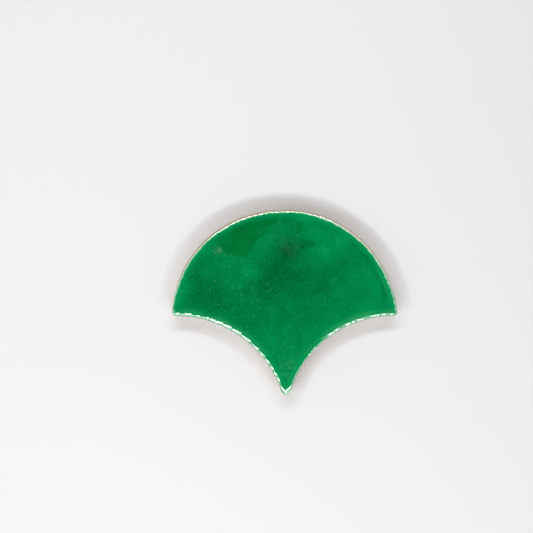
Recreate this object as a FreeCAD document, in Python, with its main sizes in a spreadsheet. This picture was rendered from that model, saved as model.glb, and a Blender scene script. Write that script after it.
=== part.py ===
"""One fish scale tile: a fired clay unit with a glazed face, made as one piece.

Frame: millimetres, +Z up out of the glazed face, +Y towards the round head,
-Y towards the blunt tip, +X across the width. The origin is the middle of the
tile's box, on the back face, so the tile lies on Z = 0.

The outline is six tangent arcs. A round head runs from shoulder to shoulder.
Below the shoulders two hollow flanks run down to a small rounded tip.
"""

import FreeCAD, Part
import math
import os
import Sketcher

doc = FreeCAD.newDocument("FishScaleTile")

# ---------------------------------------------------------------- dimensions
DIMENSIONS = [
    ("tile_height", 106.2, "head to tip"),
    ("head_radius", 65.0, "round head"),
    ("flank_radius", 61.5, "hollow flank"),
    ("flank_offset", 62.1, "flank's centre from the middle line"),
    ("shoulder_radius", 2.6, "corner between head and flank"),
    ("tip_radius", 3.9, "rounded tip"),
    ("thickness", 12.5, "back to face"),
    ("rim_radius", 1.6, "rolled rim of the face"),
    ("arris_radius", 0.8, "worn edge of the back"),
]

sheet = doc.addObject("Spreadsheet::Sheet", "Dimensions")
for row, (alias, value, note) in enumerate(DIMENSIONS, start=1):
    sheet.set("A%d" % row, alias)
    sheet.set("B%d" % row, str(value))
    sheet.set("C%d" % row, note)
    sheet.setAlias("B%d" % row, alias)
doc.recompute()


def dim(alias):
    return float(sheet.get(alias))


H = dim("tile_height")
RH = dim("head_radius")
RF = dim("flank_radius")
XF = dim("flank_offset")
RS = dim("shoulder_radius")
RT = dim("tip_radius")

# ------------------------------------------------- where the arcs start from
# Centres of the six arcs, so that the sketch starts at its solution.
head_y = H / 2 - RH
tip_y = -H / 2 + RT
flank_y = tip_y - math.sqrt((RF + RT) ** 2 - XF**2)
# The shoulder's centre is RH - RS from the head's and RF + RS from the flank's.
dx, dy = XF, flank_y - head_y
span = math.hypot(dx, dy)
along = ((RH - RS) ** 2 - (RF + RS) ** 2 + span**2) / (2 * span)
across = math.sqrt((RH - RS) ** 2 - along**2)
shoulder_x = along * dx / span - across * dy / span
shoulder_y = head_y + along * dy / span + across * dx / span


def direction(frm, to):
    return math.atan2(to[1] - frm[1], to[0] - frm[0])


def arc(centre, radius, start, end):
    circle = Part.Circle(
        FreeCAD.Vector(centre[0], centre[1], 0), FreeCAD.Vector(0, 0, 1), radius
    )
    return Part.ArcOfCircle(circle, start, end)


HEAD, TIP = (0.0, head_y), (0.0, tip_y)
FLANK_L, FLANK_R = (-XF, flank_y), (XF, flank_y)
SHOULDER_L, SHOULDER_R = (-shoulder_x, shoulder_y), (shoulder_x, shoulder_y)

a_head = direction(HEAD, SHOULDER_R)
a_flank_top = direction(FLANK_R, SHOULDER_R)
a_flank_tip = direction(FLANK_R, TIP)
a_tip = direction(TIP, FLANK_R)

# ---------------------------------------------------------------- the tile
body = doc.addObject("PartDesign::Body", "Tile")
body.Label = "fish_scale_tile"


def origin_plane(role):
    return next(f for f in body.Origin.OriginFeatures if f.Role == role)


outline = body.newObject("Sketcher::SketchObject", "Outline")
outline.AttachmentSupport = [(origin_plane("XY_Plane"), "")]
outline.MapMode = "FlatFace"

g_head = outline.addGeometry(arc(HEAD, RH, a_head, math.pi - a_head))
g_sh_l = outline.addGeometry(
    arc(SHOULDER_L, RS, math.pi - a_head, math.pi - a_flank_top + math.pi)
)
g_fl_l = outline.addGeometry(
    arc(FLANK_L, RF, math.pi - a_flank_tip, math.pi - a_flank_top)
)
g_tip = outline.addGeometry(arc(TIP, RT, math.pi - a_tip, 2 * math.pi + a_tip))
g_fl_r = outline.addGeometry(arc(FLANK_R, RF, a_flank_top, a_flank_tip))
g_sh_r = outline.addGeometry(arc(SHOULDER_R, RS, a_flank_top + math.pi, a_head + 2 * math.pi))

START, END, CENTRE = 1, 2, 3
C = Sketcher.Constraint
for first, first_end, second, second_end in (
    (g_head, END, g_sh_l, START),
    (g_sh_l, END, g_fl_l, END),
    (g_fl_l, START, g_tip, START),
    (g_tip, END, g_fl_r, END),
    (g_fl_r, START, g_sh_r, START),
    (g_sh_r, END, g_head, START),
):
    outline.addConstraint(C("Tangent", first, first_end, second, second_end))

# Head and tip lie on the middle line, which is the sketch's own Y axis.
outline.addConstraint(C("PointOnObject", g_head, CENTRE, -2))
outline.addConstraint(C("PointOnObject", g_tip, CENTRE, -2))
outline.addConstraint(C("Equal", g_fl_l, g_fl_r))
outline.addConstraint(C("Equal", g_sh_l, g_sh_r))


def driven(constraint, name, expression):
    index = outline.addConstraint(constraint)
    outline.renameConstraint(index, name)
    outline.setExpression("Constraints." + name, expression)


driven(C("Radius", g_head, RH), "HeadRadius", "Dimensions.head_radius")
driven(C("Radius", g_fl_r, RF), "FlankRadius", "Dimensions.flank_radius")
driven(C("Radius", g_sh_r, RS), "ShoulderRadius", "Dimensions.shoulder_radius")
driven(C("Radius", g_tip, RT), "TipRadius", "Dimensions.tip_radius")
driven(
    C("DistanceX", -1, 1, g_fl_r, CENTRE, XF), "FlankRight", "Dimensions.flank_offset"
)
driven(
    C("DistanceX", g_fl_l, CENTRE, -1, 1, XF), "FlankLeft", "Dimensions.flank_offset"
)
# The origin is half way between the head's top and the tip.
driven(
    C("DistanceY", g_head, CENTRE, -1, 1, -head_y),
    "HeadCentre",
    "Dimensions.head_radius - Dimensions.tile_height / 2",
)
driven(
    C("DistanceY", g_tip, CENTRE, -1, 1, -tip_y),
    "TipCentre",
    "Dimensions.tile_height / 2 - Dimensions.tip_radius",
)
doc.recompute()

# The slab, cut straight through, stands on its back face.
slab = body.newObject("PartDesign::Pad", "Slab")
slab.Profile = outline
slab.setExpression("Length", "Dimensions.thickness")
doc.recompute()


def edges_at(shape, height):
    """Names of the outline's edges that lie flat at that height."""
    found = []
    for number, edge in enumerate(shape.Edges, start=1):
        box = edge.BoundBox
        if abs(box.ZMin - height) < 1e-6 and abs(box.ZMax - height) < 1e-6:
            found.append("Edge%d" % number)
    return found


# The face rolls over at its rim, where glaze pulled back from the edge.
rim = body.newObject("PartDesign::Fillet", "RolledRim")
rim.Base = (slab, edges_at(slab.Shape, dim("thickness")))
rim.setExpression("Radius", "Dimensions.rim_radius")
doc.recompute()

# The back's edge is only knocked off.
arris = body.newObject("PartDesign::Fillet", "WornArris")
arris.Base = (rim, edges_at(rim.Shape, 0.0))
arris.setExpression("Radius", "Dimensions.arris_radius")
body.Tip = arris
doc.recompute()

# ---------------------------------------------------------------- checking
for item in doc.Objects:
    if "Invalid" in item.State or "Error" in item.State:
        raise RuntimeError("%s failed: %s" % (item.Name, item.State))
if outline.solve() != 0:
    raise RuntimeError("the outline's sketch has no solution")
shape = body.Shape
if shape.isNull() or not shape.isValid() or len(shape.Solids) != 1:
    raise RuntimeError("the tile isn't one valid solid")
if not shape.Volume < slab.Shape.Volume:
    raise RuntimeError("the rim and the arris took nothing off the slab")

box = shape.optimalBoundingBox(False, False)
print("size %.2f x %.2f x %.2f mm" % (box.XLength, box.YLength, box.ZLength))
print("x %.3f..%.3f y %.3f..%.3f z %.3f..%.3f" % (box.XMin, box.XMax, box.YMin, box.YMax, box.ZMin, box.ZMax))
print("volume %.1f cm3, faces %d" % (shape.Volume / 1000.0, len(shape.Faces)))

os.makedirs("parts", exist_ok=True)
for piece in (body,):
    piece.Shape.exportStep("parts/%s.step" % piece.Label)
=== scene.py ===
"""Looks of one fish scale tile: its glazed face, the worn rim, and the bare clay sides and back.

Sizes in the making are millimetres, and the finished mesh is in metres, in the tile's own frame:
the back lies on Z = 0, the round head points to +Y and the blunt tip to -Y.
"""

import math

import bpy
import numpy as np
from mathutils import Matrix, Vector
from mathutils.geometry import delaunay_2d_cdt
from mathutils.kdtree import KDTree


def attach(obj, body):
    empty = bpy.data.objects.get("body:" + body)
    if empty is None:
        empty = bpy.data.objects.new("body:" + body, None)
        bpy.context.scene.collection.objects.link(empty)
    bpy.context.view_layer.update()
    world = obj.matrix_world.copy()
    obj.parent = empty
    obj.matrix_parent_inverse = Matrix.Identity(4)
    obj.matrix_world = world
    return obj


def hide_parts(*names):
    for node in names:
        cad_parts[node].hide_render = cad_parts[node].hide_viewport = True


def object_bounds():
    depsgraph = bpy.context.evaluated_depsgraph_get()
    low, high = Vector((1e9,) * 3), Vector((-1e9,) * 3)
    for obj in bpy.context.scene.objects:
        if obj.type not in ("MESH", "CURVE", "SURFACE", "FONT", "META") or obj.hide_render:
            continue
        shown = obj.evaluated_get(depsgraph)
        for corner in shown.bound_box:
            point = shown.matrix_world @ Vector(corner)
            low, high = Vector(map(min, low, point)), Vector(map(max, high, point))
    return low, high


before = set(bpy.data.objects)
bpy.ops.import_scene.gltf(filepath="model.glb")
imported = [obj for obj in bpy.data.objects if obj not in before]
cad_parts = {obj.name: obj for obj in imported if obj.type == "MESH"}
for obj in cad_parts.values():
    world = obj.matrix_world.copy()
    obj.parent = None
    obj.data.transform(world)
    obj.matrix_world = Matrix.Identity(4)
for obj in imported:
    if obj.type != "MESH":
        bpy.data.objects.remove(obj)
cad_lo, cad_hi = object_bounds()
THICK = cad_hi.z * 1000.0
PI = math.pi


# ------------------------------------------------------------------ small tools
def lattice_noise(points, seed):
    """Gradient noise, about -1 to 1, at an array of 3-D points. The seed picks the lattice."""
    table = np.random.RandomState(seed).permutation(256)
    table = np.concatenate([table, table, table])
    gradients = np.random.RandomState(seed + 991).normal(size=(256, 3))
    gradients /= np.linalg.norm(gradients, axis=1)[:, None]
    base = np.floor(points).astype(int)
    part = points - base
    base &= 255
    ease = part**3 * (part * (part * 6 - 15) + 10)
    total = np.zeros(len(points))
    for i in (0, 1):
        for j in (0, 1):
            for k in (0, 1):
                corner = table[
                    table[table[(base[:, 0] + i) & 255] + ((base[:, 1] + j) & 255)]
                    + ((base[:, 2] + k) & 255)
                ]
                offset = part - np.array([i, j, k])
                weight = (
                    (ease[:, 0] if i else 1 - ease[:, 0])
                    * (ease[:, 1] if j else 1 - ease[:, 1])
                    * (ease[:, 2] if k else 1 - ease[:, 2])
                )
                total += weight * np.einsum("ij,ij->i", gradients[corner], offset)
    return total * 1.6


def noise(x, y, cell, seed, z=0.0):
    """Noise on a plane or in space, with that cell in millimetres."""
    x, y, z = np.broadcast_arrays(
        np.asarray(x, float), np.asarray(y, float), np.asarray(z, float)
    )
    points = np.stack([x.ravel(), y.ravel(), z.ravel()], axis=1) / cell + 37.3
    return lattice_noise(points, seed).reshape(x.shape)


def smooth(low, high, value):
    t = np.clip((np.asarray(value, float) - low) / (high - low), 0.0, 1.0)
    return t * t * (3 - 2 * t)


def bell(value, middle, width):
    return np.exp(-(((value - middle) / width) ** 2))


# ------------------------------------------------------------------ the outline
# Six tangent arcs as in the solid, drawn in by a little, so that the hand-made
# wobble and the glaze that runs down the side stay within the tile's box.
INSET = 0.34
HEIGHT, HEAD_R, FLANK_R, FLANK_X, SHOULDER_R, TIP_R = 106.2, 65.0, 61.5, 62.1, 2.6, 3.9
head_y = HEIGHT / 2 - HEAD_R
tip_y = -HEIGHT / 2 + TIP_R
flank_y = tip_y - math.sqrt((FLANK_R + TIP_R) ** 2 - FLANK_X**2)
gap_x, gap_y = FLANK_X, flank_y - head_y
span = math.hypot(gap_x, gap_y)
along = ((HEAD_R - SHOULDER_R) ** 2 - (FLANK_R + SHOULDER_R) ** 2 + span**2) / (2 * span)
across = math.sqrt((HEAD_R - SHOULDER_R) ** 2 - along**2)
shoulder_x = along * gap_x / span - across * gap_y / span
shoulder_y = head_y + along * gap_y / span + across * gap_x / span
a_head = math.atan2(shoulder_y - head_y, shoulder_x)
a_top = math.atan2(shoulder_y - flank_y, shoulder_x - FLANK_X)
a_low = math.atan2(tip_y - flank_y, -FLANK_X)
a_tip = math.atan2(flank_y - tip_y, FLANK_X)

# centre, radius, first and last angle, and 1 where the arc bulges out or -1 where it is hollow
ARCS = [
    ((0.0, head_y), HEAD_R - INSET, a_head, PI - a_head, 1),
    ((-shoulder_x, shoulder_y), SHOULDER_R - INSET, PI - a_head, 2 * PI - a_top, 1),
    ((-FLANK_X, flank_y), FLANK_R + INSET, PI - a_top, PI - a_low, -1),
    ((0.0, tip_y), TIP_R - INSET, PI - a_tip, 2 * PI + a_tip, 1),
    ((FLANK_X, flank_y), FLANK_R + INSET, a_low, a_top, -1),
    ((shoulder_x, shoulder_y), SHOULDER_R - INSET, a_top + PI, a_head + 2 * PI, 1),
]
HEAD, SHOULDER_LEFT, FLANK_LEFT, TIP, FLANK_RIGHT, SHOULDER_RIGHT = range(6)


def sample_outline(step):
    """Points round the tile, their outward normals, the way along the edge and each point's arc."""
    place, normal, which = [], [], []
    for index, (centre, radius, first, last, bulge) in enumerate(ARCS):
        fine = step * 0.66 if radius < 5 else step
        count = max(4, int(math.ceil(abs(last - first) * radius / fine)))
        for i in range(count):
            angle = first + (last - first) * i / count
            ray = np.array([math.cos(angle), math.sin(angle)])
            place.append(np.array(centre) + radius * ray)
            normal.append(bulge * ray)
            which.append(index)
    place, normal = np.array(place), np.array(normal)
    steps = np.linalg.norm(np.roll(place, -1, 0) - place, axis=1)
    return place, normal, np.concatenate([[0], np.cumsum(steps)[:-1]]), np.array(which)


def inside_distance(x, y):
    """How far a point is from the outline: more than zero inside the tile."""
    best = np.full(np.shape(x), 1e9)
    for centre, radius, first, last, bulge in ARCS:
        low, high = min(first, last), max(first, last)
        dx, dy = x - centre[0], y - centre[1]
        on_arc = np.mod(np.arctan2(dy, dx) - low, 2 * PI) <= high - low
        best = np.minimum(best, np.where(on_arc, np.abs(np.hypot(dx, dy) - radius), 1e9))
        for end in (first, last):
            end_x = centre[0] + radius * math.cos(end)
            end_y = centre[1] + radius * math.sin(end)
            best = np.minimum(best, np.hypot(x - end_x, y - end_y))
    in_head = (np.hypot(x, y - head_y) <= HEAD_R - INSET) & (y >= shoulder_y - 0.5)
    in_flanks = np.hypot(np.abs(x) - FLANK_X, y - flank_y) < FLANK_R + INSET
    below = (y < shoulder_y) & (y >= tip_y) & (np.abs(x) < shoulder_x) & ~in_flanks
    near_tip = np.hypot(x, y - tip_y) <= TIP_R - INSET
    near_shoulder = np.hypot(np.abs(x) - shoulder_x, y - shoulder_y) <= SHOULDER_R - INSET
    inside = (in_head & ~in_flanks) | below | near_tip | near_shoulder
    return np.where(inside, best, -best)


edge, out, way, arc_of = sample_outline(0.36)
N = len(edge)
ex, ey = edge[:, 0], edge[:, 1]
LENGTH = way[-1] + np.linalg.norm(edge[0] - edge[-1])
turn = np.degrees(np.arctan2(ey - head_y, ex))  # 90 at the head's top
on_head, on_left, on_tip, on_right = (arc_of == k for k in (HEAD, FLANK_LEFT, TIP, FLANK_RIGHT))
on_shoulders = (arc_of == SHOULDER_LEFT) | (arc_of == SHOULDER_RIGHT)


def soften(values, count):
    """A running mean round the closed edge."""
    window = np.hanning(2 * count + 3)[1:-1]
    window /= window.sum()
    wrapped = np.concatenate([values[-count:], values, values[:count]])
    return np.convolve(wrapped, window, "valid")


# The edge was cut by hand: it swings a little and has small nicks.
wobble = (
    0.13 * noise(ex, ey, 15.0, 3)
    + 0.09 * noise(ex, ey, 4.2, 5)
    + 0.06 * noise(ex, ey, 1.7, 7)
)
wobble -= 0.22 * smooth(0.45, 0.8, noise(ex, ey, 2.6, 11))
at_tip = soften(on_tip.astype(float), 6)
wobble = np.clip(wobble, -0.5, 0.28) * (1 - at_tip) + 0.28 * at_tip

# ------------------------------------------------------------------ the worn rim
# The rim is dressed with a chain of short flats, with small nicks between them. They lie along
# the top of the head and along the flanks. Elsewhere the rim is round.
draw = np.random.RandomState(17)
FLATS_LEFT = [(-61.8, -60.4), (-57.3, -53.4), (-50.2, -48.9), (-45.2, -43.5), (-42.9, -41.6), (-41.4, -40.0),
              (-39.8, -35.9), (-35.1, -31.4), (-30.6, -26.0), (-25.3, -20.8), (-20.2, -16.5), (-16.2, -13.4),
              (-12.9, -10.6), (-9.7, -8.6), (-7.7, -6.7), (-6.4, -5.2)]
FLATS_RIGHT = [(14.0, 15.1), (15.4, 16.4), (16.8, 18.0), (25.5, 28.6), (29.2, 31.3), (35.2, 37.6), (38.8, 40.2),
               (41.4, 45.2), (49.4, 50.8), (51.1, 52.4), (52.7, 54.1), (55.7, 57.5), (60.6, 62.2)]
FLATS_HEAD = [(-38.2, -37.2), (-36.7, -34.9), (-34.5, -32.4), (-31.9, -28.3), (-27.7, -25.9), (-25.2, -22.0),
              (-21.3, -19.4), (-18.2, -16.3), (-15.0, -12.3), (-11.5, -10.2), (-8.3, -6.7), (-5.8, -3.5),
              (-0.4, 0.3), (0.9, 2.6), (3.4, 5.3), (6.0, 7.5), (8.8, 9.8), (11.9, 12.7), (13.5, 15.4),
              (16.2, 18.9), (19.8, 23.0), (23.8, 28.0)]
flats = [tuple(np.interp(pair, ex[on_left], way[on_left])) for pair in FLATS_LEFT]
flats += [tuple(np.interp(pair, ex[on_right], way[on_right])) for pair in FLATS_RIGHT]
flats += [tuple(np.interp(pair[::-1], ex[on_head][::-1], way[on_head][::-1])) for pair in FLATS_HEAD]

share, off_middle, bevel, head_wide = np.zeros(N), np.zeros(N), np.zeros(N), np.full(N, 0.6)
for first, last in flats:
    on_flat = (way >= first - 0.2) & (way <= last + 0.2)
    share[on_flat] = smooth(-0.2, 0.25, np.minimum(way - first, last - way)[on_flat])
    off_middle[on_flat] = (way - (first + last) / 2)[on_flat]
    dull = 2.8 * float(np.max((smooth(121.0, 126.0, turn) * on_head)[on_flat]))
    bevel[on_flat] = math.tan(math.radians(17.3 + dull + 0.6 * min(1.8, max(-1.8, draw.normal(0.0, 1.0)))))
    head_wide[on_flat] = draw.uniform(0.46, 0.78)
# On the flanks each flat lies a little askew: nearer to the edge at its shoulder end.
slide = np.clip(np.where(on_left, 0.16, np.where(on_right, -0.10, 0.0)) * off_middle, -0.36, 0.36)

# How far in from the edge the glaze stops on the head, where the clay shows.
bare_head = np.interp(
    turn,
    (26, 40, 60, 75, 87, 95, 105, 113, 122, 133, 142, 152, 162),
    (0.44, 0.50, 0.50, 0.70, 0.74, 0.82, 0.92, 0.98, 1.00, 0.84, 0.86, 0.66, 0.42),
)

# At one place near the top left a thin film of glaze was smeared out over the edge.
smear = smooth(4.0, 0.4, np.abs(turn - 128.0)) * on_head

DROP = 1.4  # how far down the rim comes at the edge
# How far in from the edge a flat has its outer and its inner side.
low_left = smooth(-27.0, -18.0, ex)
left_more = np.interp(ex, (-62, -54, -50, -46, -40, -34, -28, -22, -14, -8), (0.3, 0.25, 0, 0.15, 0.1, 0.3, 0.25, -0.05, -0.3, -0.15))
flat_out = np.where(on_head, np.maximum(0.7, bare_head + 0.06), np.where(on_left, 0.80 - 0.46 * low_left, 0.55))
flat_in = flat_out + np.where(on_head, head_wide, np.where(on_left, 0.94 + 0.18 * low_left + left_more, 0.97))
low_right = on_right & (ex < 22.0)
flat_out = np.where(low_right, 0.4, flat_out)
flat_in = np.where(low_right, 0.92, flat_in)
roll_wide = np.where(low_right, 0.95, np.where(on_head & (np.abs(turn - 91.0) < 33.0), 1.2, 2.0))
roll_wide = soften(np.where(ey < -46.8, 0.5, roll_wide), 7)
# Between the flats of the right flank the rim is steeper, and elsewhere it is round.
steep = soften(np.where(on_right & (ex > 22.0), 1.0, 0.0), 7)


def dressed(e, slope, flat_to, flat_from):
    """A flat of that slope along the rim, with a tight edge outside it."""
    start = flat_from + 0.36
    at_in = slope * (start - flat_from) / 2
    at_out = at_in + slope * (flat_from - flat_to)
    soft = slope * np.clip(start - e, 0, None) ** 2 / (2 * (start - flat_from))
    plane = at_in + slope * (flat_from - e)
    q = np.clip(1 - e / flat_to, 0, 1)
    tight = at_out + slope * (flat_to - e) + (DROP - at_out - slope * flat_to) * (
        1 - np.sqrt(np.clip(1 - q * q, 0, 1))
    )
    return np.where(e > flat_from, soft, np.where(e > flat_to, plane, tight))


def rim_fall(d, at):
    """How far the rim falls, d in from the edge, beside that point of the edge."""
    e = d - slide[at] * smooth(0.05, 0.75, d) * smooth(3.0, 1.9, d)
    flat = dressed(e, bevel[at], flat_out[at], flat_in[at])
    between = dressed(d, math.tan(math.radians(23.5)), flat_out[at], flat_in[at])
    q = np.clip(1 - d / roll_wide[at], 0, 1)
    rounded = DROP * (1 - np.sqrt(np.clip(1 - q * q, 0, 1)))
    between = between * steep[at] + rounded * (1 - steep[at])
    return flat * share[at] + between * (1 - share[at])


def lean(x, y):
    """The left flank is cut a little hollower than the right one: how far it moves in, and the tip with it."""
    half = FLANK_X - np.sqrt(np.clip((FLANK_R + INSET) ** 2 - (y - flank_y) ** 2, 0, None))
    half = np.maximum(np.where(y > tip_y, half, TIP_R), TIP_R - INSET)
    hollow = np.interp(-y, (13, 20, 30, 40, 46, 53), (0, 0.4, 0.95, 1.15, 1.3, 1.2))
    return hollow * smooth(0.05, 1.0, (half - x) / (2 * half))


def tip_fall(x, y):
    """Two small flats that meet in a V at the tip."""
    fall = np.zeros(np.shape(x))
    across_tip = x + lean(x, y) - 0.45
    for facing, bevel_ in ((222.0, 16.8), (314.0, 16.0)):
        a = math.radians(facing)
        away = TIP_R - INSET - (across_tip * math.cos(a) + (y - tip_y) * math.sin(a))
        step = math.tan(math.radians(bevel_)) * np.clip(2.8 - away, 0, 1.35)
        step += math.tan(math.radians(28.0)) * np.clip(1.45 - away, 0, 0.5)
        fall = np.maximum(fall, step)
    return fall * smooth(-45.2, -47.6, y)


def face_height(x, y):
    """The face before its rim: nearly flat, with the slow waves of a hand-pressed slab."""
    return (
        THICK
        - 0.2
        + 0.085 * noise(x, y, 27.0, 31)
        + 0.030 * noise(x, y, 11.0, 33)
        + 0.008 * noise(x, y, 4.4, 35)
    )


def top_height(x, y, d, at):
    near = smooth(3.4, 1.8, d) * smooth(0.0, 0.5, d)
    bead = near * (0.012 * noise(x, y, 1.7, 41) + 0.02 * noise(x, y, 4.4, 43))
    ridge = 0.03 * bell(d, 4.2, 0.6) * smooth(-0.1, 0.5, noise(x, y, 16.0, 45))
    return face_height(x, y) - rim_fall(d, at) - tip_fall(x, y) + bead + ridge


# ------------------------------------------------------------------ where the glaze stops
# Counted in from the edge on the face, and below zero down the side.
stops = np.where(
    on_head,
    bare_head - 1.1 * smooth(26, 10, turn) - 1.1 * smooth(162, 174, turn),
    -0.55,
)
stops = np.where(on_shoulders, -0.8, stops)
stops = np.where(on_tip, -1.1, stops)
stops = soften(stops, 24)
# A few drips: most of them low and wide, some narrow and longer.
drips = np.zeros(N)
draw = np.random.RandomState(29)
at = 5.0
while at < LENGTH - 5.0:
    spot_at = int(np.searchsorted(way, at)) % N
    wide, far = draw.uniform(1.4, 3.6), draw.uniform(0.2, 0.7)
    if draw.rand() < 0.3:
        wide, far = draw.uniform(0.8, 1.3), draw.uniform(0.7, 1.8)
    ahead, behind = wide * draw.uniform(0.75, 1.35), wide * draw.uniform(0.75, 1.35)
    if stops[spot_at] < 0.1:
        u = np.where(way > at, (way - at) / ahead, (at - way) / behind)
        drips = np.maximum(drips, far * np.exp(-(u**2.4)))
    at += 2 * wide + draw.uniform(5.0, 24.0)
drips *= smooth(0.3, 0.0, stops)
glaze_end = stops + 0.20 * noise(ex, ey, 3.4, 55) + 0.10 * noise(ex, ey, 1.3, 57) - drips
glaze_end -= 0.9 * smooth(-0.1, 0.8, noise(ex, ey, 11.0, 59)) * smooth(0.2, -0.5, stops)

# How far in from there, or from the edge, the thin mint glaze reaches.
round_corner = np.maximum(smooth(26, 10, turn), 0.5 * smooth(160, 172, turn))
mint_wide = 0.64 + 0.2 * smooth(78, 62, turn) - 0.1 * smooth(128, 136, turn) + 0.25 * round_corner
mint_wide = np.where(on_left, 0.98 - 0.25 * low_left + left_more, np.where(on_head, mint_wide, 1.0))
mint_wide = np.where(on_right, 0.6 + 0.45 * smooth(22.0, 28.0, ex), mint_wide)
mint_wide = soften(np.where(on_tip, 1.0 + 0.25 * ex, mint_wide), 6)
mint_wide *= 1 + 0.5 * noise(ex, ey, 1.9, 121) * on_head
# How creamy it is there: most at the top of the head and on its right.
cream_at = np.interp(turn, (8, 18, 35, 50, 58, 66, 95, 128, 142, 158, 168), (0, 0.12, 0.45, 0.65, 0.7, 0.42, 0.36, 0.45, 0.4, 0.15, 0))
cream_at = soften(np.clip(cream_at * (1 + 0.9 * noise(ex, ey, 2.6, 119)), 0, 1) * on_head, 3)

# ------------------------------------------------------------------ the mesh
points, depth, stop, faces, kind = [], [], [], [], []
TOP, SIDE, BACK = 0, 1, 2
EVERY = np.arange(N)


def add(x, y, z, profile, end):
    first = sum(len(p) for p in points)
    points.append(np.stack([x, y, z], axis=1))
    depth.append(np.broadcast_to(profile, x.shape).astype(float))
    stop.append(np.broadcast_to(end, x.shape).astype(float))
    return np.arange(first, first + len(x))


def strip(lower, upper, group):
    next_lower, next_upper = np.roll(lower, -1), np.roll(upper, -1)
    faces.append(np.stack([lower, next_lower, next_upper], axis=1))
    faces.append(np.stack([lower, next_upper, upper], axis=1))
    kind.append(np.full(2 * len(lower), group))


def triangle_grid(side, low_=-56.0, high_=56.0):
    """Points of a triangle grid over the tile's box, and how far inside the outline each is."""
    row = side * math.sqrt(3) / 2
    gy, gx = np.mgrid[int(low_ / row) : int(high_ / row) + 1, -int(68 / side) : int(68 / side) + 1]
    x, y = (gx * side + (gy % 2) * side / 2).ravel(), (gy * row).ravel()
    return x, y, inside_distance(x, y)


def fill(ring, ring_places, own, places, group, flip):
    names = np.concatenate([ring, own])
    flat = [Vector(p) for p in np.concatenate([ring_places, places])]
    count = len(ring)
    made = delaunay_2d_cdt(flat, [(i, (i + 1) % count) for i in range(count)], [], 1, 1e-7)
    back_to = np.array([names[o[0]] for o in made[3]])
    tri = back_to[np.array([f for f in made[2] if len(f) == 3])]
    faces.append(tri[:, ::-1] if flip else tri)
    kind.append(np.full(len(tri), group))


# Rings over the rim, from the edge inwards.
RINGS = [0.0, 0.03, 0.1, 0.2, 0.33, 0.5, 0.68, 0.88, 1.08, 1.28, 1.48, 1.68, 1.87, 2.05]
rings = []
for d in RINGS:
    at_ring = edge + out * (wobble * math.exp(-d / 1.6) - d)[:, None]
    z = top_height(at_ring[:, 0], at_ring[:, 1], np.full(N, d), EVERY)
    rings.append(add(at_ring[:, 0], at_ring[:, 1], z, d, glaze_end))
edge_height = points[0][:, 2]
for outer, inner in zip(rings, rings[1:]):
    strip(outer, inner, TOP)
ring_xy = points[-1][:, :2]

# The face inside the last ring, on a fine triangle grid that is finer still at the tip.
px, py, pd = triangle_grid(0.47)
keep = (pd > RINGS[-1] + 0.28) & (py > -45.8)
px, py, pd = px[keep], py[keep], pd[keep]
tx, ty, td = triangle_grid(0.2, -54.0, -46.0)
keep = td > RINGS[-1] + 0.14
px, py, pd = np.append(px, tx[keep]), np.append(py, ty[keep]), np.append(pd, td[keep])
tree = KDTree(N)
for i in range(N):
    tree.insert((ex[i], ey[i], 0.0), i)
tree.balance()
beside = np.zeros(len(px), int)
for i in np.nonzero(pd < 3.6)[0]:
    beside[i] = tree.find((px[i], py[i], 0.0))[1]
grid = add(px, py, top_height(px, py, pd, beside), pd, -9.0)
fill(rings[-1], ring_xy, grid, np.stack([px, py], axis=1), TOP, False)

# The side: cut clay, rough, with the glaze standing a little proud where it ran down.
ARRIS = 0.8
ROWS = 21
side_rings = [rings[0]]


def side_relief(x, y, z, below):
    drag = noise(x * 0.3, y * 0.3, 1.0, 61, z * 1.3)
    grain_ = noise(x, y, 0.95, 63, z)
    lump = noise(x, y, 5.0, 65, z)
    pit = smooth(0.48, 0.8, noise(x, y, 1.5, 67, z)) + 0.8 * smooth(0.55, 0.8, noise(x, y, 2.9, 69, z))
    rough = 0.03 * drag + 0.06 * grain_ + 0.11 * lump - 0.24 * pit
    covered = smooth(-0.25, 0.3, below - glaze_end)
    glazed = 0.15 + 0.04 * lump + 0.10 * bell(below - glaze_end, 0.45, 0.4)
    fade = smooth(0.0, 0.7, -below)
    return fade * (rough * (1 - covered) + glazed * covered - 0.02) * (1 - 0.75 * at_tip)


for k in range(1, ROWS + 1):
    t = k / ROWS
    z = edge_height * (1 - t) + ARRIS * t
    below = z - edge_height
    shift = wobble * (1 - 0.6 * t) + side_relief(ex, ey, z, below)
    at_ring = edge + out * shift[:, None]
    side_rings.append(add(at_ring[:, 0], at_ring[:, 1], z, below, glaze_end))
# The lower edge is knocked off unevenly, with a few larger chips.
chips = smooth(0.35, 0.75, noise(ex, ey, 6.0, 73)) * (0.7 + 0.5 * noise(ex, ey, 1.6, 75))
for k in range(1, 5):
    angle = k / 4 * PI / 2
    worn_off = ARRIS * (1 + 0.5 * noise(ex, ey, 3.3, 71) + 0.9 * chips)
    z = np.full(N, max(0.0, ARRIS * (1 - math.sin(angle))))
    at_ring = edge + out * (shift - worn_off * (1 - math.cos(angle)))[:, None]
    side_rings.append(add(at_ring[:, 0], at_ring[:, 1], z, z - edge_height, glaze_end))
for upper, lower in zip(side_rings, side_rings[1:]):
    strip(lower, upper, SIDE)

# The back lies flat, with shallow pores and drag marks.
ring_xy = points[-1][:, :2]
bx, by, bd = triangle_grid(1.4)
keep = bd > 2.6
bx, by = bx[keep], by[keep]
pore = smooth(0.35, 0.8, noise(bx, by, 3.2, 81)) * 0.22
marks = 0.05 * smooth(0.1, 0.7, noise(bx * 0.25, by, 2.4, 83))
back = add(bx, by, pore + marks, -30.0, 0.0)
fill(side_rings[-1], ring_xy, back, np.stack([bx, by], axis=1), BACK, True)

place = np.concatenate(points)
depth = np.concatenate(depth)
stop = np.concatenate(stop)
tris = np.concatenate(faces)
kind = np.concatenate(kind)

place[:, 0] += lean(place[:, 0], place[:, 1])
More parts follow.
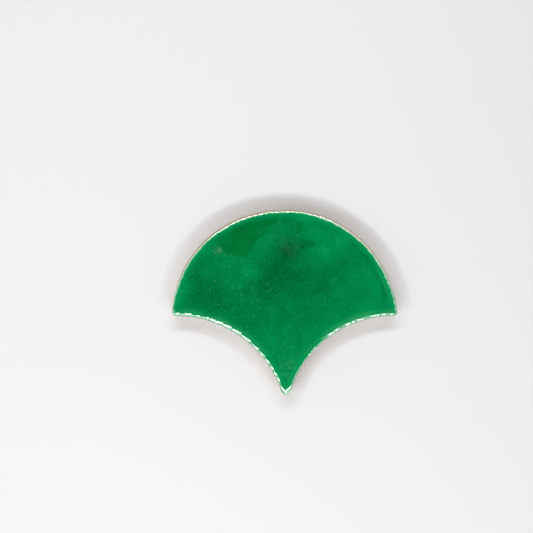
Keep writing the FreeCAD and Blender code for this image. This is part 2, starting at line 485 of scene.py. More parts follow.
# The head is cut a little full on its left and a little flat on its right.
from_middle = np.hypot(place[:, 0], place[:, 1] - head_y)
round_head = np.degrees(np.arctan2(place[:, 1] - head_y, place[:, 0]))
full = np.interp(
    round_head,
    (8, 14, 21, 30, 48, 92, 100, 108, 116, 124, 134, 146, 152, 158, 164, 172),
    (0, -0.2, -0.3, -0.12, 0, 0, 0.12, 0.38, 0.6, 0.78, 0.95, 0.95, 0.85, 0.55, 0.22, 0),
)
full *= smooth(30.0, 60.0, from_middle) / from_middle.clip(1.0)
place[:, 0] += full * place[:, 0]
place[:, 1] += full * (place[:, 1] - head_y)

# Fit the finished tile into its own box exactly.
low, high = np.array(cad_lo) * 1000.0, np.array(cad_hi) * 1000.0
have_low, have_high = place.min(0), place.max(0)
room = 0.004
for axis in (0, 1):
    scale = (high[axis] - low[axis] - 2 * room) / (have_high[axis] - have_low[axis])
    place[:, axis] = (place[:, axis] - have_low[axis]) * scale + low[axis] + room
place[:, 2] = np.clip(place[:, 2], 0.0, None) * (THICK - room) / have_high[2]

# ------------------------------------------------------------------ what the glaze does on the face
X, Y = place[:, 0], place[:, 1]
head_turn = np.degrees(np.arctan2(Y - head_y, X))
# Soft shapes are drawn on a slightly stirred plane, so that none of them is a plain oval.
stir_x = X + 2.2 * noise(X, Y, 13.0, 91) + 0.9 * noise(X, Y, 4.5, 93)
stir_y = Y + 2.2 * noise(X, Y, 13.0, 95) + 0.9 * noise(X, Y, 4.5, 97)


def spot(x, y, cx, cy, rx, ry, tilt=0.0):
    c, s = math.cos(math.radians(tilt)), math.sin(math.radians(tilt))
    u = ((x - cx) * c + (y - cy) * s) / rx
    v = (-(x - cx) * s + (y - cy) * c) / ry
    return np.exp(-(u * u + v * v))


# Soft clouds: weight, middle, half sizes and tilt. A weight below zero is thick, dark glaze.
CLOUDS = [
    (-0.85, -4.5, 19.0, 8.0, 13.0, -22),
    (-0.45, 9.0, 16.5, 9.0, 7.5, -30),
    (-0.60, 2.5, 30.0, 6.0, 6.0, 0),
    (-0.18, 13.0, 33.5, 6.0, 3.0, -10),
    (-0.18, 22.0, 6.0, 11.0, 6.0, 20),
    (-0.20, 8.0, 4.5, 9.0, 6.0, 0),
    (-0.62, -43.5, 4.0, 10.0, 10.0, 30),
    (-0.30, -14.0, 7.0, 8.0, 9.0, 20),
    (-0.22, -27.0, -4.0, 8.0, 6.0, -20),
    (-0.30, 1.5, 47.0, 2.4, 1.4, 0),
    (0.40, 24.0, 29.0, 7.0, 8.0, -30),
    (0.45, 33.0, 35.0, 9.0, 5.0, -35),
    (0.45, 17.0, 40.0, 8.0, 5.0, -15),
    (0.40, 49.0, 14.0, 7.0, 12.0, 15),
    (0.40, 47.0, -2.5, 10.0, 5.0, 5),
    (0.32, 29.0, -12.5, 9.0, 6.0, 35),
    (0.38, -21.0, 17.0, 6.0, 8.0, -10),
    (0.28, -32.0, 22.5, 8.0, 4.0, 15),
    (0.15, -56.0, 9.0, 4.0, 10.0, -15),
    (0.18, -36.0, -12.0, 10.0, 4.0, -28),
    (0.30, -8.0, 37.0, 5.0, 6.0, -30),
    (0.30, 6.0, 48.0, 10.0, 3.0, 0),
    (0.30, -9.0, -25.0, 5.0, 7.0, 30),
    (0.30, 13.0, -22.0, 5.0, 7.0, -30),
    (0.42, 0.0, -36.0, 7.0, 12.0, 0),
    (0.45, 20.0, 30.5, 6.0, 5.0, -20),
    (0.30, 29.5, 37.0, 5.0, 3.5, -35),
    (-0.32, 29.0, 20.5, 5.5, 5.5, 0),
    (-0.22, 22.5, 12.5, 6.0, 4.5, 0),
    (-0.22, 1.5, 12.0, 7.0, 6.0, 0),
    (0.26, 38.5, 14.5, 5.0, 6.0, 0),
    (-0.38, -51.5, 18.0, 5.0, 5.0, 0),
    (-0.26, 12.5, -10.0, 5.5, 7.0, 0),
    (0.32, 42.0, -6.5, 7.0, 3.6, 5),
    (0.26, 12.0, 48.0, 5.0, 2.6, 0),
    (0.24, -4.0, -19.0, 6.0, 5.0, 0),
    (0.26, -8.5, -28.0, 4.0, 5.0, 30),
    (-0.24, 0.0, 29.5, 5.0, 4.0, 0),
    (0.20, -35.5, 12.5, 4.5, 4.5, 0),
    (-0.50, -25.5, 40.0, 5.0, 5.0, 0),
]
cloud = sum(w * spot(stir_x, stir_y, *shape) for w, *shape in CLOUDS)

# Pools with a shore, where a second dip of glaze ran together under the head, and a pale patch beside them.
POOLS = [
    [(-4.4, 47.0), (-6.7, 48.1), (-9.6, 47.8), (-13.4, 46.6), (-16.4, 46.0), (-20.5, 45.4), (-24.0, 44.0),
     (-26.9, 42.7), (-30.1, 41.3), (-33.9, 39.2), (-36.8, 36.8), (-37.9, 34.2), (-37.6, 32.1), (-36.0, 30.4),
     (-33.0, 27.8), (-30.1, 27.2), (-27.5, 26.4), (-23.9, 26.2), (-21.6, 26.3), (-20.2, 28.3), (-18.7, 31.3),
     (-17.2, 33.9), (-15.5, 36.2), (-13.2, 38.1), (-10.8, 39.7), (-10.3, 41.8), (-8.5, 43.2), (-5.8, 44.4),
     (-4.4, 45.9)],
    [(6.3, 46.2), (10.5, 46.5), (9.9, 44.0), (9.0, 41.7), (7.6, 39.6), (6.4, 39.9), (6.4, 42.3)],
    [(7.6, 33.5), (9.5, 36.2), (13.8, 35.8), (18.6, 33.6), (16.8, 31.6), (13.0, 31.1), (9.3, 31.0)],
    [(-41.2, 28.7), (-41.5, 29.5), (-40.3, 31.1), (-38.8, 31.8), (-37.1, 31.5), (-36.3, 30.7), (-35.5, 29.1),
     (-35.9, 27.8), (-36.9, 27.8), (-37.6, 28.5), (-38.3, 28.0), (-39.9, 27.7), (-40.8, 28.1)],
]


def pool_distance(corners):
    """Distance to the pool's shore, more than zero inside it."""
    best = np.full(len(X), 1e9)
    inside = np.zeros(len(X), bool)
    for (ax, ay), (cx, cy) in zip(corners, corners[1:] + corners[:1]):
        dx, dy = cx - ax, cy - ay
        t = np.clip(((X - ax) * dx + (Y - ay) * dy) / (dx * dx + dy * dy), 0, 1)
        best = np.minimum(best, np.hypot(X - ax - t * dx, Y - ay - t * dy))
        inside ^= ((ay > Y) != (cy > Y)) & (X < dx * (Y - ay) / (dy + 1e-12) + ax)
    return np.where(inside, best, -best)


pool_in = pool_distance(POOLS[0])
small_in = pool_distance(POOLS[1])
patch_in = pool_distance(POOLS[2])
pale_in = pool_distance(POOLS[3])
# The shore is crisp on the right and fades out to the left.
fade = 0.28 + (0.4 + 1.1 * smooth(31.0, 37.0, Y)) * smooth(-15.0, -33.0, X + 0.25 * (Y - 35.0))
depth_of_pool = 0.95 - 0.6 * spot(stir_x, stir_y, -35.0, 36.0, 4.5, 4.5) - 0.25 * spot(stir_x, stir_y, -14.0, 41.0, 3.5, 3.0)
pool = depth_of_pool * smooth(-1.0, 1.0, (pool_in + 0.45 * noise(X, Y, 2.6, 101) + 0.2 * noise(X, Y, 1.1, 103)) / fade)
pool = np.maximum(pool, 0.8 * smooth(-0.35, 0.35, small_in + 0.3 * noise(X, Y, 1.8, 105)))
patch = smooth(-0.5, 0.5, patch_in + 0.6 * noise(X, Y, 2.2, 107))

# Faint lines that follow the rim where the glaze was wiped: dark ones, and olive ones nearer the edge.
swing = 0.3 * noise(X, Y, 9.0, 111)
lines = -bell(depth + swing, 5.2, 0.5) * smooth(54, 47, head_turn) * smooth(12, 17, head_turn) * (Y > 0)
lines *= 1 - 0.8 * bell(head_turn, 33.5, 2.2)
lines += 0.4 * bell(depth + swing, 3.35, 0.45) * smooth(34, 26, head_turn) * smooth(8, 14, head_turn) * (Y > 0)
on_flanks = (Y < shoulder_y + 2) & (Y > -30)
lines += (
    bell(depth + swing, 2.9, 0.9)
    * on_flanks
    * smooth(-0.5, 0.3, noise(X, Y, 8.0, 113))
    * (0.4 + 0.5 * smooth(-20, -8, Y))
)

# Pale flecks, where bubbles burst and the glaze is thin: middle, half sizes, tilt.
FLECKS = [
    (-37.2, 30.3, 1.7, 0.8, -50), (-38.6, 28.8, 2.2, 0.6, 8), (-33.7, 27.6, 1.0, 0.6, 20), (-30.7, 27.2, 0.8, 0.5, -10),
    (-23.8, 24.3, 0.9, 0.7, 0), (-34.5, 20.3, 0.7, 0.5, 0), (-31.7, 20.5, 0.9, 0.5, 15),
    (-21.8, 15.7, 0.5, 1.2, 6), (-22.9, 17.5, 0.4, 0.4, 0), (-40.3, 12.3, 0.9, 0.6, 10),
    (-33.5, 11.9, 0.5, 0.8, 20), (-37.1, 9.2, 0.6, 0.5, 0), (-30.1, 8.3, 0.5, 1.5, 4),
    (-25.9, 8.3, 0.6, 1.2, -12), (-42.6, 7.0, 0.6, 0.9, 30), (-25.3, 5.7, 0.5, 0.4, 0),
    (-24.5, 3.9, 1.0, 0.5, -6), (-24.2, 1.5, 1.4, 0.45, -5), (-19.1, 0.1, 0.85, 0.45, 28),
    (-15.5, 0.9, 0.45, 0.9, 15), (-38.0, -1.4, 0.7, 0.55, 0), (-34.4, -5.2, 0.4, 0.4, 0),
    (-18.0, -8.3, 0.5, 1.35, -28), (-13.8, -3.0, 0.5, 0.6, 0), (-10.0, 10.9, 0.9, 0.5, 35),
    (-14.3, 40.2, 0.6, 0.6, 0), (-3.8, 45.1, 0.9, 0.5, 0), (7.5, 38.4, 1.1, 0.8, -20),
    (21.9, 29.7, 0.6, 0.4, 10), (27.1, 12.3, 0.5, 0.6, 0), (34.5, -1.0, 0.7, 0.5, 0),
    (0.5, -23.3, 0.4, 1.0, 8), (0.3, -25.6, 0.5, 0.45, 0), (4.3, -25.9, 0.9, 0.6, 0),
    (-3.2, -31.2, 0.5, 0.8, -30), (-0.6, -30.1, 0.5, 0.5, 0), (17.8, -14.0, 0.4, 0.7, -35),
    (-0.2, -32.0, 0.7, 0.6, 0), (1.6, -34.4, 1.3, 0.7, 10), (3.9, -34.2, 1.0, 0.7, -20),
    (2.2, -37.7, 0.9, 0.6, 0), (5.2, -37.4, 0.8, 0.5, 30), (0.5, -41.3, 1.1, 1.0, 0),
    (-1.0, -40.4, 0.8, 0.7, 0), (8.2, -30.4, 0.6, 0.5, 0), (6.7, -29.1, 1.3, 0.4, 8),
    (-2.6, -36.4, 0.6, 0.5, 0), (-2.2, -26.5, 0.3, 0.9, 40), (-9.3, 9.4, 0.5, 0.4, 0),
    (-8.5, 7.1, 0.5, 0.95, -10), (-10.1, 5.8, 0.6, 0.45, 20), (-4.4, 4.0, 0.7, 0.65, 0),
    (-16.3, 5.4, 0.5, 0.5, 0), (-17.7, 6.9, 0.45, 0.45, 0), (-18.8, 8.4, 0.6, 0.45, -30),
]
fleck = np.zeros(len(X))
for shape in FLECKS:
    fleck = np.maximum(fleck, spot(X, Y, *shape))

# Small dark marks in the glaze.
MARKS = [
    (15.2, 32.0, 1.4, 0.7, 36), (20.9, 34.8, 0.9, 0.55, -11), (10.6, 31.4, 1.0, 0.5, 14), (-18.6, 19.9, 0.7, 0.55, 40),
    (7.4, 15.8, 1.4, 0.65, 35), (8.2, 12.0, 0.8, 0.8, 0), (-2.4, 13.5, 0.6, 1.1, -10), (-1.1, 16.6, 0.9, 0.8, 0),
    (0.3, 30.2, 1.4, 1.1, 0), (-9.3, 2.7, 1.4, 0.6, 5), (-10.6, 7.9, 0.9, 0.7, 90), (-13.7, 12.0, 0.8, 0.8, 0),
    (-38.1, -3.0, 1.4, 0.6, 43),
]
marked = np.zeros(len(X))
for shape in MARKS:
    marked = np.maximum(marked, spot(X, Y, *shape))
cloud = cloud - 0.5 * marked

# A brownish haze beside the dark middle.
haze = spot(stir_x, stir_y, 2.5, 32.0, 5.5, 4.6, -20) + 0.5 * spot(stir_x, stir_y, -4.0, 39.5, 4.5, 3.0, 30)
# A pale bloom near the tip, and one in the largest fleck.
bloom = 0.8 * spot(stir_x, stir_y, 2.5, -38.0, 4.5, 6.5) + 2.4 * smooth(-0.4, 0.4, pale_in + 0.3 * noise(X, Y, 1.3, 115))

# ------------------------------------------------------------------ the mesh object
mint, cream, film = np.full(len(place), 0.8), np.zeros(len(place)), np.zeros(len(place))
for ring in rings + side_rings[1:]:
    mint[ring] = mint_wide
    cream[ring] = cream_at
    film[ring] = smear
mesh = bpy.data.meshes.new("glazed_tile")
mesh.from_pydata((place / 1000.0).tolist(), [], tris.tolist())
mesh.update()
mesh.polygons.foreach_set("use_smooth", np.ones(len(mesh.polygons), bool))
for name, values in (
    ("edge_mm", depth),
    ("glaze_end_mm", stop),
    ("mint_mm", mint),
    ("cream", cream),
    ("film", film),
    ("cloud", cloud),
    ("pool", pool),
    ("patch", patch),
    ("lines", lines),
    ("fleck", fleck),
    ("haze", haze),
    ("bloom", bloom),
):
    layer = mesh.attributes.new(name, "FLOAT", "POINT")
    layer.data.foreach_set("value", values.astype(np.float32))

# A map of the surface: the face as seen from above, the side unrolled in three strips, the back small.
uv = np.zeros((len(tris), 3, 2))
PER_MM = 1 / 165.0
face_uv = np.stack([(X + 65.5) * PER_MM + 0.004, (Y + 54.0) * PER_MM + 0.004], axis=1)
uv[kind == TOP] = face_uv[tris[kind == TOP]]
back_uv = np.stack([(X + 65.5) / 640.0 + 0.795, (Y + 54.0) / 640.0 + 0.01], axis=1)
uv[kind == BACK] = back_uv[tris[kind == BACK]]
column = np.full(len(place), -1)
down = np.zeros(len(place))
for k, ring in enumerate(side_rings):
    column[ring] = EVERY
    down[ring] = k * (edge_height.mean() / (len(side_rings) - 1))
side_tris = tris[kind == SIDE]
cols = column[side_tris]
wrap = (cols.max(1) - cols.min(1)) > N / 2
cols = np.where(wrap[:, None] & (cols < N / 2), cols + N, cols)
along_edge = np.concatenate([way, way + LENGTH])[cols]
third = LENGTH / 3
which_strip = np.minimum((along_edge.min(1) // third).astype(int), 2)
uv[kind == SIDE, :, 0] = (along_edge - which_strip[:, None] * third + 2.0) * PER_MM + 0.01
uv[kind == SIDE, :, 1] = 0.672 + which_strip[:, None] * 0.08 + (down[side_tris] + 0.6) * PER_MM
layer = mesh.uv_layers.new(name="OFBake")
layer.data.foreach_set("uv", uv.reshape(-1).astype(np.float32))
mesh.validate()

tile = bpy.data.objects.new("fish_scale_tile_glazed", mesh)
bpy.context.scene.collection.objects.link(tile)

# ------------------------------------------------------------------ the glaze and clay
LIT = 1.48  # how much brighter than its own colour a level face comes out in this light


def srgb(r, g, b, divide=1.0):
    def linear(c):
        c /= 255.0
        return c / 12.92 if c <= 0.04045 else ((c + 0.055) / 1.055) ** 2.4

    return (linear(r) / divide, linear(g) / divide, linear(b) / divide, 1.0)


material = bpy.data.materials.new("glazed_clay")
material.use_nodes = True
tree = material.node_tree
tree.nodes.clear()


def node(kind_, **settings):
    made = tree.nodes.new(kind_)
    for key, value in settings.items():
        setattr(made, key, value)
    return made


def feed(socket, value):
    if isinstance(value, bpy.types.NodeSocket):
        tree.links.new(value, socket)
    else:
        socket.default_value = value


def math_(operation, a, b=0.0, c=None):
    made = node("ShaderNodeMath", operation=operation)
    feed(made.inputs[0], a)
    feed(made.inputs[1], b)
    if c is not None:
        feed(made.inputs[2], c)
    return made.outputs[0]


def times(a, b):
    return math_("MULTIPLY", a, b)


def plus(base, value, weight):
    """The base, and the value by that weight."""
    return math_("MULTIPLY_ADD", value, weight, base)


def attribute(name):
    return node("ShaderNodeAttribute", attribute_name=name).outputs["Fac"]


def grain(vector, scale_, detail=2.0, rough=0.5, distort=0.0):
    """Noise about zero: mostly within -0.3 to 0.3."""
    made = node("ShaderNodeTexNoise")
    feed(made.inputs["Vector"], vector)
    made.inputs["Scale"].default_value = scale_
    made.inputs["Detail"].default_value = detail
    made.inputs["Roughness"].default_value = rough
    made.inputs["Distortion"].default_value = distort
    return math_("SUBTRACT", made.outputs["Fac"], 0.5)


def step_(value, low_, high_):
    made = node("ShaderNodeMapRange", interpolation_type="SMOOTHSTEP")
    feed(made.inputs["Value"], value)
    made.inputs["From Min"].default_value = low_
    made.inputs["From Max"].default_value = high_
    made.inputs["To Min"].default_value = 0.0
    made.inputs["To Max"].default_value = 1.0
    return made.outputs["Result"]


def mix(factor, a, b):
    made = node("ShaderNodeMix", data_type="RGBA", clamp_factor=True)
    feed(made.inputs[0], factor)
    feed(made.inputs[6], a)
    feed(made.inputs[7], b)
    return made.outputs[2]


def blend(factor, a, b):
    made = node("ShaderNodeMix", data_type="FLOAT", clamp_factor=True)
    feed(made.inputs[0], factor)
    feed(made.inputs[2], a)
    feed(made.inputs[3], b)
    return made.outputs[0]


def ramp(value, *stops_):
    made = node("ShaderNodeValToRGB")
    feed(made.inputs["Fac"], value)
    elements = made.color_ramp.elements
    while len(elements) < len(stops_):
        elements.new(0.5)
    for element, (at_, colour_) in zip(elements, stops_):
        element.position = at_
        element.color = colour_
    return made.outputs["Color"]


def stretched(vector, x, y, z):
    made = node("ShaderNodeVectorMath", operation="MULTIPLY")
    feed(made.inputs[0], vector)
    made.inputs[1].default_value = (x, y, z)
    return made.outputs[0]


def cells(vector, scale_):
    """Distance from the nearest of many scattered points, in cells."""
    made = node("ShaderNodeTexVoronoi", feature="F1")
    feed(made.inputs["Vector"], vector)
    made.inputs["Scale"].default_value = scale_
    return made.outputs["Distance"]


where = node("ShaderNodeTexCoord").outputs["Object"]
mm = stretched(where, 1000.0, 1000.0, 1000.0)

edge_in = attribute("edge_mm")
glaze_to = attribute("glaze_end_mm")
mint_to = attribute("mint_mm")
creams = attribute("cream")
films = attribute("film")
clouds = attribute("cloud")
pools = attribute("pool")
patches = attribute("patch")
rim_lines = attribute("lines")
flecks = attribute("fleck")
hazes = attribute("haze")
blooms = attribute("bloom")

# --- glaze colour
wide = grain(mm, 0.06, 3.0, 0.55, 0.8)
mid = grain(mm, 0.21, 4.0, 0.6, 0.4)
fine = grain(mm, 1.05, 3.0, 0.7)
dust = grain(mm, 2.6, 2.0, 0.6)
still = math_("SUBTRACT", 1.0, times(pools, 0.7))  # pools are smoother than the rest
tone = plus(0.5, wide, 0.30)
tone = plus(tone, mid, 0.38)
tone = plus(tone, times(fine, still), 1.0)
tone = plus(tone, times(dust, still), 0.9)
tone = plus(tone, clouds, 0.36)
tone = plus(tone, patches, -0.16)
tone = plus(tone, step_(edge_in, 6.5, 2.2), 0.16)
tone = plus(tone, math_("MINIMUM", rim_lines, 0.0), 0.18)
green = ramp(
    tone,
    (0.0, srgb(0, 82, 40, LIT)),
    (0.25, srgb(0, 103, 53, LIT)),
    (0.5, srgb(0, 124, 67, LIT)),
    (0.75, srgb(1, 141, 79, LIT)),
    (1.0, srgb(10, 158, 93, LIT)),
)
# Pools are deeper and yellower.
pool_green = ramp(
    plus(plus(0.5, mid, 0.8), clouds, 0.2),
    (0.2, srgb(0, 104, 42, LIT)),
    (0.5, srgb(0, 113, 49, LIT)),
    (0.8, srgb(0, 121, 57, LIT)),
)
green = mix(times(pools, 0.92), green, pool_green)
# Small dark marks where the glaze sank into the pressed clay.
sunk = times(step_(grain(mm, 0.8, 3.0, 0.6), 0.10, 0.22), step_(clouds, 0.15, -0.5))
green = mix(times(sunk, 0.34), green, srgb(0, 84, 38, LIT))
# A brownish haze, and olive lines beside the rim.
smoke = times(hazes, step_(plus(mid, fine, 0.6), -0.16, 0.2))
green = mix(times(smoke, 0.30), green, srgb(56, 112, 70, LIT))
green = mix(times(math_("MAXIMUM", rim_lines, 0.0), 0.2), green, srgb(98, 182, 104, LIT))
green = mix(times(times(blooms, step_(plus(mid, fine, 0.8), -0.2, 0.2)), 0.12), green, srgb(96, 152, 112, LIT))
# Flecks are paler and a little greyer than the glaze round them.
broken = step_(grain(mm, 1.5, 3.0, 0.7), -0.16, 0.10)
scuff = times(step_(flecks, 0.12, 0.85), broken)
speck = times(step_(cells(mm, 0.36), 0.15, 0.04), step_(grain(mm, 0.11, 2.0), 0.02, 0.16))
pale = math_("MAXIMUM", times(scuff, 0.30), times(speck, 0.14))
green = mix(pale, green, srgb(71, 181, 125, LIT))

# --- the rim: the glaze thins to mint along the edge
from_stop = math_("SUBTRACT", edge_in, math_("MAXIMUM", glaze_to, 0.0))
ragged = plus(math_("SUBTRACT", from_stop, mint_to), grain(mm, 0.9, 3.0, 0.6), 0.9)
halo = step_(plus(edge_in, grain(mm, 0.5, 3.0, 0.6), 2.0), 4.2, 1.0)
green = mix(times(halo, 0.5), green, srgb(12, 156, 92, LIT))
faint = times(step_(ragged, 1.3, 0.0), step_(creams, 0.0, 0.12))
green = mix(times(faint, 0.2), green, srgb(96, 208, 165, LIT))
thin = times(step_(ragged, 0.32, -0.22), step_(grain(mm, 0.45, 3.0, 0.6), -0.5, -0.1))
mint = mix(step_(grain(mm, 0.8, 3.0), -0.22, 0.22), srgb(122, 208, 163, LIT), srgb(180, 229, 197, LIT))
mint = mix(creams, mint, srgb(244, 238, 222, LIT))
green = mix(times(thin, 0.95), green, mint)

# --- bare clay
body_wide = grain(mm, 0.13, 3.0, 0.6)
body_fine = grain(mm, 1.2, 5.0, 0.7)
body_sand = grain(mm, 4.5, 3.0, 0.7)
body_drag = grain(stretched(mm, 0.3, 0.3, 1.2), 1.0, 3.0, 0.6)
clay_tone = plus(0.52, body_fine, 0.8)
clay_tone = plus(clay_tone, body_sand, 0.55)
clay_tone = plus(clay_tone, body_wide, 0.75)
clay_tone = plus(clay_tone, body_drag, 0.18)
clay = ramp(
    clay_tone,
    (0.0, srgb(122, 93, 74)),
    (0.28, srgb(166, 137, 114)),
    (0.52, srgb(194, 167, 143)),
    (0.76, srgb(210, 189, 166)),
    (1.0, srgb(226, 211, 192)),
)
clay = mix(times(step_(grain(mm, 0.09, 3.0, 0.6), 0.0, 0.2), 0.45), clay, srgb(186, 146, 121))
pit_with_painted_shade = times(step_(cells(mm, 0.55), 0.24, 0.12), step_(grain(mm, 0.5, 2.0), 0.04, 0.14))
is_grit = times(step_(cells(mm, 1.3), 0.26, 0.14), step_(grain(mm, 0.9, 2.0), 0.06, 0.16))
is_lime = times(step_(cells(stretched(mm, 1.0, -1.0, 1.0), 0.8), 0.2, 0.1), step_(grain(mm, 0.8, 1.0), -0.18, -0.28))
# The pits are painted deep brown: partly the clay's own dark specks, partly painted shade in the pits.
clay = mix(times(pit_with_painted_shade, 0.75), clay, srgb(88, 62, 48))
clay = mix(times(is_grit, 0.6), clay, srgb(108, 78, 60))
clay = mix(times(is_lime, 0.7), clay, srgb(236, 226, 210))

# On the rim and the upper part of the side the clay is darker and greyer.
rim_darkening = plus(plus(edge_in, grain(mm, 0.7, 4.0, 0.65), 2.4), grain(mm, 0.12, 2.0), 3.0)
clay = mix(times(step_(rim_darkening, -2.8, 0.9), 0.76), clay, srgb(140, 124, 94))

# --- which is which
line = math_("SUBTRACT", edge_in, glaze_to)
line = plus(line, grain(mm, 1.6, 3.0, 0.6), 0.3)
glazed = step_(line, -0.06, 0.06)
# A rust-brown flash where the glaze soaked into the clay.
flash = times(step_(line, -0.8, -0.05), math_("SUBTRACT", 1.0, glazed))
clay = mix(times(flash, 0.4), clay, srgb(130, 100, 74))
film_reach = plus(plus(edge_in, films, 1.5), grain(mm, 0.8, 4.0, 0.6), 1.8)
filmed = times(step_(films, 0.05, 0.7), step_(film_reach, 0.1, 1.3))
clay = mix(times(filmed, 0.6), clay, srgb(96, 136, 104))
# Down the side the glaze is thick and green again, and pale where it thins out at its end.
on_side = step_(plus(edge_in, grain(mm, 0.6, 3.0), 0.5), 0.32, -0.10)
run_green = mix(step_(grain(mm, 0.7, 3.0), -0.2, 0.2), srgb(1, 104, 56), srgb(14, 140, 84))
run_green = mix(times(step_(line, 0.22, 0.02), 0.45), run_green, srgb(112, 168, 122))
green = mix(on_side, green, run_green)
colour = mix(glazed, clay, green)

# --- gloss and relief
gloss = plus(0.09, grain(mm, 0.3, 3.0, 0.6), 0.10)
gloss = plus(gloss, pale, 0.35)
roughness = blend(glazed, 0.92, gloss)
pinhole = times(step_(cells(mm, 0.22), 0.075, 0.02), step_(grain(mm, 0.2, 1.0), -0.02, 0.06))
inner = step_(edge_in, 1.2, 3.4)
glaze_relief = times(times(grain(mm, 0.42, 2.0, 0.5), inner), 0.010)
glaze_relief = plus(glaze_relief, grain(mm, 2.2, 2.0), 0.0009)
glaze_relief = plus(glaze_relief, pinhole, -0.05)
glaze_relief = plus(glaze_relief, scuff, -0.012)
glaze_relief = plus(glaze_relief, pools, 0.012)
clay_relief = times(grain(mm, 1.5, 5.0, 0.75), 0.24)
clay_relief = plus(clay_relief, body_sand, 0.07)
clay_relief = plus(clay_relief, pit_with_painted_shade, -0.28)
clay_relief = plus(clay_relief, is_grit, -0.08)
relief = blend(glazed, clay_relief, glaze_relief)
bump = node("ShaderNodeBump")
bump.inputs["Strength"].default_value = 1.0
bump.inputs["Distance"].default_value = 0.001
feed(bump.inputs["Height"], relief)

shader = node("ShaderNodeBsdfPrincipled")
feed(shader.inputs["Base Color"], colour)
feed(shader.inputs["Roughness"], roughness)
feed(shader.inputs["Normal"], bump.outputs["Normal"])
shader.inputs["IOR"].default_value = 1.68
surface = node("ShaderNodeOutputMaterial")
tree.links.new(shader.outputs["BSDF"], surface.inputs["Surface"])
mesh.materials.append(material)

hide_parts("fish_scale_tile")
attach(tile, "root")

# ------------------------------------------------------------------ floor and light
# A pale floor that curves up far away into a wall of the same tone.
ring_count = 128
profile = [(0.0, 0.0), (0.1, 0.0), (0.2, 0.0), (0.3, 0.0), (0.45, 0.0), (0.62, 0.0)]
for k in range(1, 25):
    angle = k / 24 * math.radians(84)
    profile.append((0.62 + 0.62 * math.sin(angle), 0.62 * (1 - math.cos(angle))))
profile.append((1.262, 0.85))
verts, polys = [(0.0, 0.0, 0.0)], []
for radius, height in profile[1:]:
    for k in range(ring_count):
        angle = 2 * PI * k / ring_count
        verts.append((radius * math.cos(angle), radius * math.sin(angle), height))
for k in range(ring_count):
    polys.append((0, 1 + k, 1 + (k + 1) % ring_count))
for r in range(len(profile) - 2):
    a, b = 1 + r * ring_count, 1 + (r + 1) * ring_count
    for k in range(ring_count):
        n = (k + 1) % ring_count
        polys.append((a + k, b + k, b + n, a + n))
floor_mesh = bpy.data.meshes.new("floor")
floor_mesh.from_pydata(verts, [], polys)
floor_mesh.update()
floor_mesh.polygons.foreach_set("use_smooth", np.ones(len(floor_mesh.polygons), bool))
floor = bpy.data.objects.new("floor", floor_mesh)
floor.visible_glossy = False
bpy.context.scene.collection.objects.link(floor)

paper = bpy.data.materials.new("pale_floor")
paper.use_nodes = True
tree = paper.node_tree
tree.nodes.clear()
PALE = 0.84
matt = node("ShaderNodeBsdfDiffuse")
matt.inputs["Color"].default_value = (0.555, 0.555, 0.551, 1.0)
glow = node("ShaderNodeEmission")
glow.inputs["Color"].default_value = (1.0, 1.0, 0.995, 1.0)
glow.inputs["Strength"].default_value = PALE
far = node("ShaderNodeVectorMath", operation="LENGTH")
feed(far.inputs[0], node("ShaderNodeTexCoord").outputs["Object"])
both = node("ShaderNodeMixShader")
feed(both.inputs["Fac"], step_(far.outputs["Value"], 0.22, 0.62))
tree.links.new(matt.outputs["BSDF"], both.inputs[1])
tree.links.new(glow.outputs["Emission"], both.inputs[2])
surface = node("ShaderNodeOutputMaterial")
tree.links.new(both.outputs["Shader"], surface.inputs["Surface"])
floor_mesh.materials.append(paper)


def light_arc(name, first, last, elevation, distance, tall, radiance):
    """A row of soft panels round the tile at one height, turned to it."""
    e = math.radians(elevation)
    length = math.radians(last - first) * distance * math.cos(e)
    count = max(1, round(length / 0.3))
    for i in range(count):
        a = math.radians(first + (last - first) * (i + 0.5) / count)
        data = bpy.data.lights.new("%s_%d" % (name, i), "AREA")
        data.shape = "RECTANGLE"
        data.size, data.size_y = length / count, tall
        data.energy = radiance * PI * data.size * data.size_y
        panel = bpy.data.objects.new(data.name, data)
        panel.location = distance * Vector((math.cos(a) * math.cos(e), math.sin(a) * math.cos(e), math.sin(e)))
        panel.rotation_mode = "QUATERNION"
        panel.rotation_quaternion = (-panel.location).to_track_quat("-Z", "Y")
        panel.visible_camera = False
        bpy.context.scene.collection.objects.link(panel)


light_arc("light_head_side", 58, 137, 50, 0.9, 0.13, 15.0)
light_arc("light_tip_side", 183, 332, 50, 0.9, 0.13, 15.0)

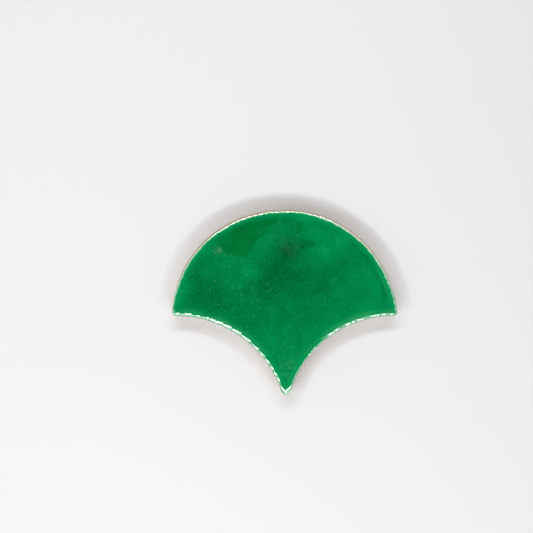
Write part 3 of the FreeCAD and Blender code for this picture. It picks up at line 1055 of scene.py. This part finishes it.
# The room round the tile: pale below, dim above, with two pale panels low down.
world = bpy.data.worlds.new("studio")
world.use_nodes = True
tree = world.node_tree
tree.nodes.clear()
look = node("ShaderNodeTexCoord").outputs["Generated"]
parts = node("ShaderNodeSeparateXYZ")
feed(parts.inputs[0], look)
room_tone = ramp(
    plus(0.5, parts.outputs["Z"], 0.5),
    (0.0, (0.45, 0.45, 0.45, 1.0)),
    (0.485, (0.42, 0.42, 0.42, 1.0)),
    (0.51, (0.15, 0.153, 0.157, 1.0)),
    (0.62, (0.11, 0.113, 0.116, 1.0)),
    (0.74, (0.05, 0.051, 0.053, 1.0)),
    (0.83, (0.013, 0.0135, 0.014, 1.0)),
    (0.9, (0.002, 0.002, 0.002, 1.0)),
)


def look_along(direction):
    made = node("ShaderNodeVectorMath", operation="DOT_PRODUCT")
    feed(made.inputs[0], look)
    made.inputs[1].default_value = direction
    return made.outputs["Value"]


def panel_at(azimuth, elevation, half_wide, half_tall, soft):
    a, e = math.radians(azimuth), math.radians(elevation)
    to_panel = Vector((math.cos(a) * math.cos(e), math.sin(a) * math.cos(e), math.sin(e)))
    to_side = Vector((-math.sin(a), math.cos(a), 0.0))
    ahead_ = math_("MAXIMUM", look_along(to_panel), 0.05)
    shown = step_(ahead_, 0.1, 0.2)
    for axis_, half in ((to_side, half_wide), (to_panel.cross(to_side), half_tall)):
        off = math_("ABSOLUTE", math_("DIVIDE", look_along(axis_), ahead_))
        shown = times(shown, step_(off, math.tan(math.radians(half + soft)), math.tan(math.radians(half))))
    return shown


glows = plus(times(panel_at(126, 22.2, 3.6, 2.6, 0.5), 1.0), panel_at(-53, 12.8, 4.0, 1.3, 0.6), 0.45)
backdrop = node("ShaderNodeBackground")
feed(backdrop.inputs["Color"], mix(glows, room_tone, (1.35, 1.35, 1.35, 1.0)))
backdrop.inputs["Strength"].default_value = 1.0
surface = node("ShaderNodeOutputWorld")
tree.links.new(backdrop.outputs["Background"], surface.inputs["Surface"])
bpy.context.scene.world = world
bpy.context.scene.view_settings.view_transform = "Standard"
bpy.context.scene.view_settings.look = "None"

# ------------------------------------------------------------------ the camera, straight above
lens = bpy.data.cameras.new("camera")
lens.sensor_width = 36.0
lens.lens = 60.45
lens.clip_start, lens.clip_end = 0.01, 10.0
camera = bpy.data.objects.new("camera", lens)
camera.location = (-0.01045, 0.0205, 0.5245)
camera.rotation_euler = (0.0, 0.0, 0.0)
bpy.context.scene.collection.objects.link(camera)
bpy.context.scene.camera = camera

print("tile: %d vertices, %d triangles" % (len(mesh.vertices), len(mesh.polygons)))
